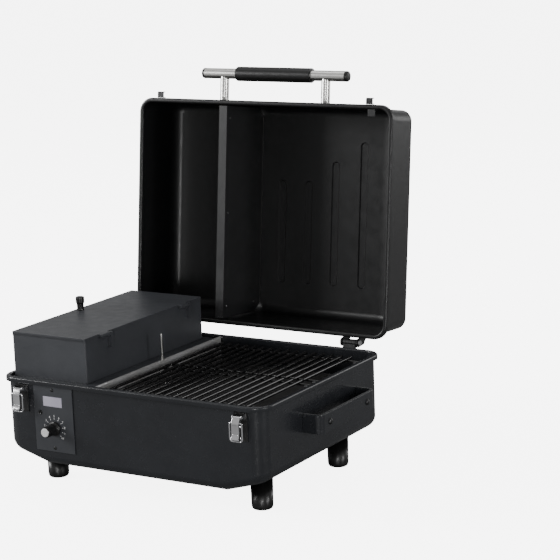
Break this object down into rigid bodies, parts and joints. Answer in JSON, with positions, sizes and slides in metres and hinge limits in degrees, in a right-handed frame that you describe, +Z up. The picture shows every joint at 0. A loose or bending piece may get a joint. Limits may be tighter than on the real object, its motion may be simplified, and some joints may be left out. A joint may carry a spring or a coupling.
{
  "type": "pellet smoker grill",
  "caption": "Portable pellet smoker grill: pressed body and hinged lid, side hopper with feed screw, fire pot, drip tray, cooking grate, toggle latches and carrying handles.",
  "frame": {"origin": "on the ground under the middle of the open grill's bounding box", "axes": "+Z up; +X to the right as seen by a person at the controls; +Y from the front wall to the hinged back"},
  "size_m": [0.5876, 0.6032, 0.665],
  "materials": {
    "powder_coat": "black semi-gloss powder coat",
    "enamel": "black porcelain enamel",
    "steel": "brushed stainless",
    "chrome": "bright chrome plate",
    "zinc": "zinc-plated steel",
    "plastic": "black moulded plastic",
    "rubber": "black rubber",
    "screen": "pale display window",
    "cast": "dark cast iron",
    "cap": "silver-grey disc"
  },
  "bodies": {
    "base": {"body_tub": "powder_coat", "foot_front_left": "rubber", "foot_front_right": "rubber", "foot_rear_left": "rubber", "foot_rear_right": "rubber", "side_handle_left": "powder_coat", "side_handle_right": "powder_coat", "handle_bolt_front_left": "zinc", "handle_bolt_front_right": "zinc", "handle_bolt_rear_left": "zinc", "handle_bolt_rear_right": "zinc", "control_panel": "plastic", "display_window": "screen", "probe_jack": "steel", "controller_box": "plastic", "power_inlet": "plastic", "auger_tube": "steel", "auger_motor": "zinc", "fire_pot": "cast", "fan_housing": "plastic", "chamber_divider": "steel", "heat_baffle": "steel", "grate_ledge": "steel", "temperature_probe": "steel", "hopper_deck": "powder_coat", "hopper_bin": "powder_coat", "hopper_funnel": "powder_coat", "hopper_hinge_front": "powder_coat", "hopper_hinge_rear": "powder_coat", "latch_plate_left": "plastic", "latch_plate_right": "plastic", "hinge_bracket_left": "zinc", "hinge_bracket_right": "zinc", "hinge_pin_left": "zinc", "hinge_pin_right": "zinc"},
    "lid": {"lid_shell": "powder_coat", "lid_divider": "steel", "lid_keeper_left": "zinc", "lid_keeper_right": "zinc", "lid_hinge_arm_left": "zinc", "lid_hinge_arm_right": "zinc", "handle_post_left": "steel", "handle_post_right": "steel", "lid_handle_bar": "steel", "lid_handle_grip": "rubber", "handle_cap_left": "plastic", "handle_cap_right": "plastic"},
    "hopper_lid": {"hopper_lid": "powder_coat", "hopper_lid_knob": "plastic"},
    "grate": {"grate_front": "enamel", "grate_rear": "enamel"},
    "tray": {"drip_tray": "steel"},
    "auger_screw": {"auger": "cast"},
    "fan_wheel": {"fan_impeller": "plastic"},
    "temperature_knob": {"control_knob": "plastic", "knob_cap": "cap"},
    "lever_left": {"latch_lever_left": "chrome"},
    "lever_right": {"latch_lever_right": "chrome"},
    "bail_left": {"latch_bail_left": "chrome"},
    "bail_right": {"latch_bail_right": "chrome"}
  },
  "joints": [
    {"name": "lid_hinge", "type": "hinge", "parent": "base", "child": "lid", "pos_m": [0, 0.13342, 0.198], "axis": [-1, 0, 0], "range_deg": [-96.6, 0]},
    {"name": "hopper_lid_hinge", "type": "hinge", "parent": "base", "child": "hopper_lid", "pos_m": [-0.0921, -0.07533, 0.2598], "axis": [0, 1, 0], "range_deg": [0, 95]},
    {"name": "grate_lift", "type": "slide", "parent": "base", "child": "grate", "axis": [0, 0, 1], "range_m": [0, 0.08]},
    {"name": "tray_lift", "type": "slide", "parent": "base", "child": "tray", "axis": [0, 0, 1], "range_m": [0, 0.048]},
    {"name": "auger_turn", "type": "hinge", "parent": "base", "child": "auger_screw", "pos_m": [-0.06, -0.07108, 0.096], "axis": [1, 0, 0], "continuous": true},
    {"name": "fan_turn", "type": "hinge", "parent": "base", "child": "fan_wheel", "pos_m": [-0.136, 0.04092, 0.066], "axis": [0, 0, 1], "continuous": true},
    {"name": "knob_turn", "type": "hinge", "parent": "base", "child": "temperature_knob", "pos_m": [-0.152, -0.28608, 0.11], "axis": [0, -1, 0], "range_deg": [0, 270]},
    {"name": "latch_lever_left_hinge", "type": "hinge", "parent": "base", "child": "lever_left", "pos_m": [-0.2165, -0.28158, 0.1745], "axis": [-1, 0, 0], "range_deg": [0, 120]},
    {"name": "latch_bail_left_hinge", "type": "hinge", "parent": "lever_left", "child": "bail_left", "pos_m": [-0.2165, -0.28758, 0.1665], "axis": [1, 0, 0], "range_deg": [-180, 0]},
    {"name": "latch_lever_right_hinge", "type": "hinge", "parent": "base", "child": "lever_right", "pos_m": [0.2165, -0.28158, 0.1745], "axis": [-1, 0, 0], "range_deg": [0, 120]},
    {"name": "latch_bail_right_hinge", "type": "hinge", "parent": "lever_right", "child": "bail_right", "pos_m": [0.2165, -0.28758, 0.1665], "axis": [1, 0, 0], "range_deg": [-180, 0]}
  ],
  "couplings": [
    {"joint": "tray_lift", "follows": "grate_lift", "ratio": 0.6}
  ]
}
